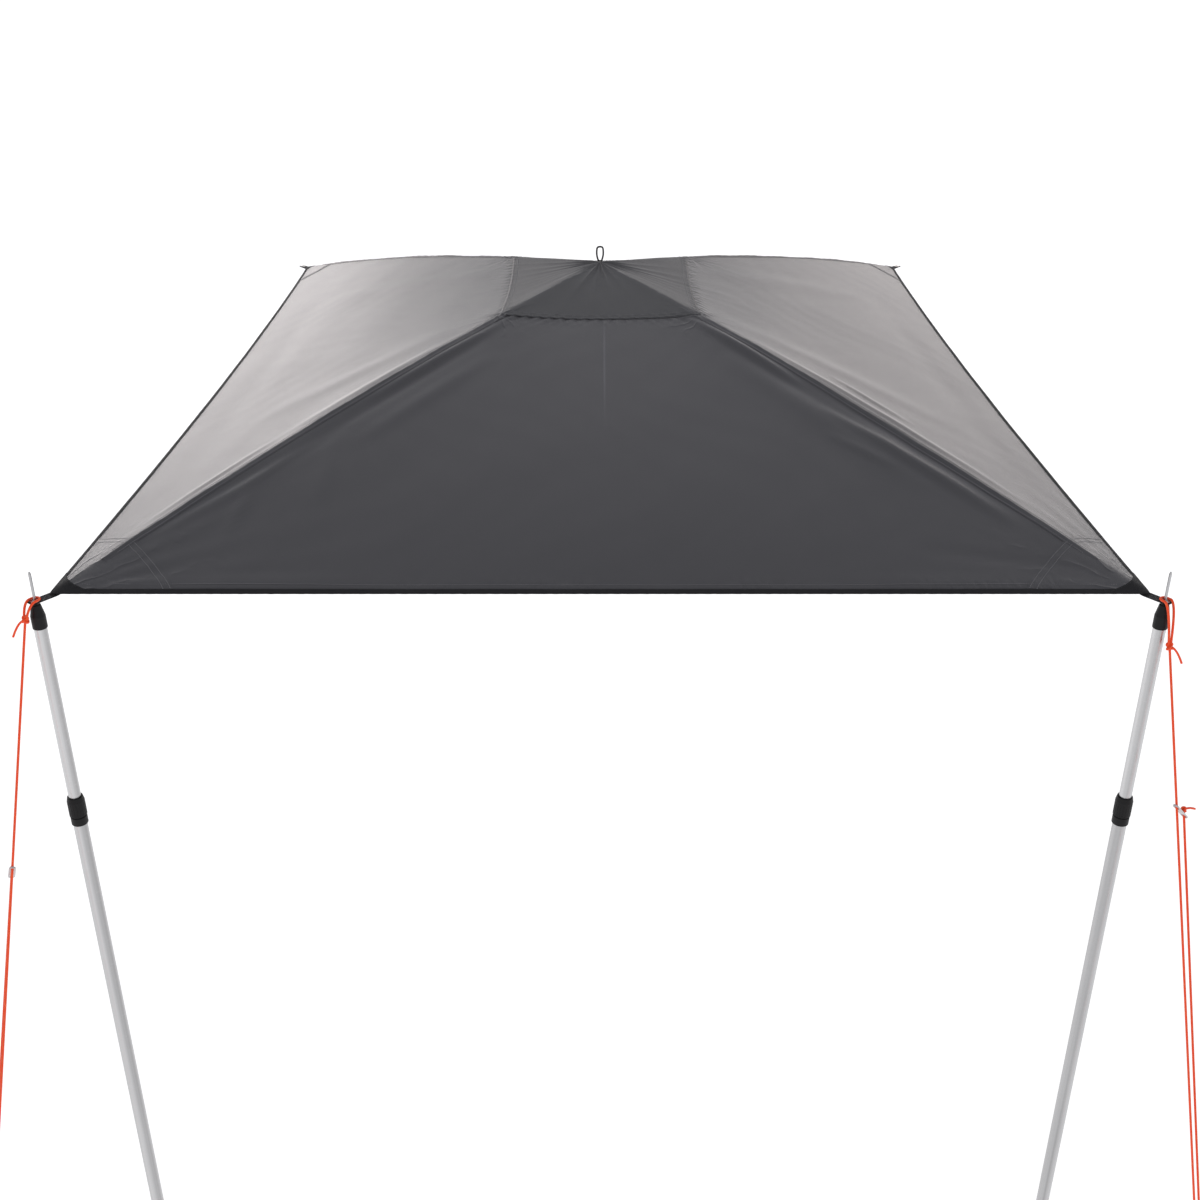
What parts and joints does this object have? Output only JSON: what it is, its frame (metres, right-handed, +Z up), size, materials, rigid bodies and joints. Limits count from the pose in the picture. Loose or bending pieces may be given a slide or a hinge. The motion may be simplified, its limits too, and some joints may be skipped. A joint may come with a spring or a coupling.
{
  "type": "tarp shelter",
  "caption": "Hip-roofed fabric tarp shelter with flexible ribs, telescopic front poles, guy ropes with sliding runners, steel pegs and eyelets along a held rear edge.",
  "frame": {"origin": "middle of the rear hem, at the height of the hems", "axes": "+X to the right along the hems, -Y from the rear hem to the front hem, +Z up"},
  "size_m": [3.0526, 3.5859, 2.6122],
  "materials": {
    "canopy_fabric": "coated plain weave with a soft sheen",
    "binding_tape": "woven tape, stitched",
    "webbing": "woven polypropylene webbing",
    "eyelet_metal": "rolled eyelet",
    "rib_fibreglass": "pultruded rod",
    "ferrule_alloy": "drawn tube",
    "moulded_black": "moulded",
    "black_cord": "braided cord",
    "pole_alloy": "satin drawn tube",
    "spigot_steel": "turned",
    "foot_rubber": "moulded",
    "guy_rope": "braided rope",
    "runner_alloy": "tumbled",
    "peg_steel": "zinc plated"
  },
  "bodies": {
    "canopy": {"front_panel": "canopy_fabric", "rear_panel": "canopy_fabric", "left_panel": "canopy_fabric", "right_panel": "canopy_fabric", "front_hem_binding": "binding_tape", "rear_hem_binding": "binding_tape", "left_hem_binding": "binding_tape", "right_hem_binding": "binding_tape", "peak_cap": "canopy_fabric", "front_left_corner_patch": "canopy_fabric", "front_right_corner_patch": "canopy_fabric", "rear_left_corner_patch": "canopy_fabric", "rear_right_corner_patch": "canopy_fabric", "hip_sleeves": "canopy_fabric", "front_left_rib": "rib_fibreglass", "front_right_rib": "rib_fibreglass", "rear_left_rib": "rib_fibreglass", "rear_right_rib": "rib_fibreglass", "rib_ferrules": "ferrule_alloy", "rib_tips": "moulded_black", "peak_hub": "moulded_black", "front_left_webbing_tab": "webbing", "front_right_webbing_tab": "webbing", "rear_left_webbing_tab": "webbing", "rear_right_webbing_tab": "webbing", "front_left_eyelet": "eyelet_metal", "front_right_eyelet": "eyelet_metal", "rear_left_eyelet": "eyelet_metal", "rear_right_eyelet": "eyelet_metal", "left_guy_loop": "guy_rope", "left_guy_line": "guy_rope", "left_guy_return": "guy_rope", "left_peg": "peg_steel", "right_guy_loop": "guy_rope", "right_guy_line": "guy_rope", "right_guy_return": "guy_rope", "right_peg": "peg_steel"},
    "peak_loop": {"peak_loop": "black_cord"},
    "left_pole": {"left_upper_tube": "pole_alloy", "left_top_cap": "moulded_black", "left_spigot": "spigot_steel", "left_guide_plug": "moulded_black"},
    "left_lower_pole": {"left_lower_tube": "pole_alloy", "left_collar": "moulded_black", "left_grip_collet": "moulded_black", "left_foot": "foot_rubber"},
    "left_clamp": {"left_clamp_nut": "moulded_black"},
    "left_runner": {"left_runner": "runner_alloy", "left_stopper_knot": "guy_rope"},
    "right_pole": {"right_upper_tube": "pole_alloy", "right_top_cap": "moulded_black", "right_spigot": "spigot_steel", "right_guide_plug": "moulded_black"},
    "right_lower_pole": {"right_lower_tube": "pole_alloy", "right_collar": "moulded_black", "right_grip_collet": "moulded_black", "right_foot": "foot_rubber"},
    "right_clamp": {"right_clamp_nut": "moulded_black"},
    "right_runner": {"right_runner": "runner_alloy", "right_stopper_knot": "guy_rope"}
  },
  "joints": [
    {"name": "peak_loop_flop", "type": "hinge", "parent": "canopy", "child": "peak_loop", "pos_m": [0, -1.5, 0.374], "axis": [1, 0, 0], "range_deg": [-65, 65], "stiffness_Nm_per_rad": 0.02},
    {"name": "left_pole_lean", "type": "hinge", "parent": "canopy", "child": "left_pole", "pos_m": [-1.22249, -3.02811, -0.0055], "axis": [0, 1, 0], "range_deg": [-10, 10]},
    {"name": "left_pole_slide", "type": "slide", "parent": "left_pole", "child": "left_lower_pole", "axis": [0, 0, 1], "range_m": [-0.3, 0.43]},
    {"name": "left_clamp_twist", "type": "hinge", "parent": "left_lower_pole", "child": "left_clamp", "pos_m": [-1.22249, -3.02811, -0.538], "axis": [0, 0, 1], "range_deg": [0, 120]},
    {"name": "left_runner_slide", "type": "slide", "parent": "canopy", "child": "left_runner", "axis": [-0.1421, -0.2348, -0.9616], "range_m": [0, 0.9], "deforming": ["left_guy_return"]},
    {"name": "right_pole_lean", "type": "hinge", "parent": "canopy", "child": "right_pole", "pos_m": [1.22249, -3.02811, -0.0055], "axis": [0, 1, 0], "range_deg": [-10, 10]},
    {"name": "right_pole_slide", "type": "slide", "parent": "right_pole", "child": "right_lower_pole", "axis": [0, 0, 1], "range_m": [-0.3, 0.43]},
    {"name": "right_clamp_twist", "type": "hinge", "parent": "right_lower_pole", "child": "right_clamp", "pos_m": [1.22249, -3.02811, -0.538], "axis": [0, 0, 1], "range_deg": [0, 120]},
    {"name": "right_runner_slide", "type": "slide", "parent": "canopy", "child": "right_runner", "axis": [0.1317, -0.2414, -0.9615], "range_m": [0, 0.9], "deforming": ["right_guy_return"]}
  ]
}
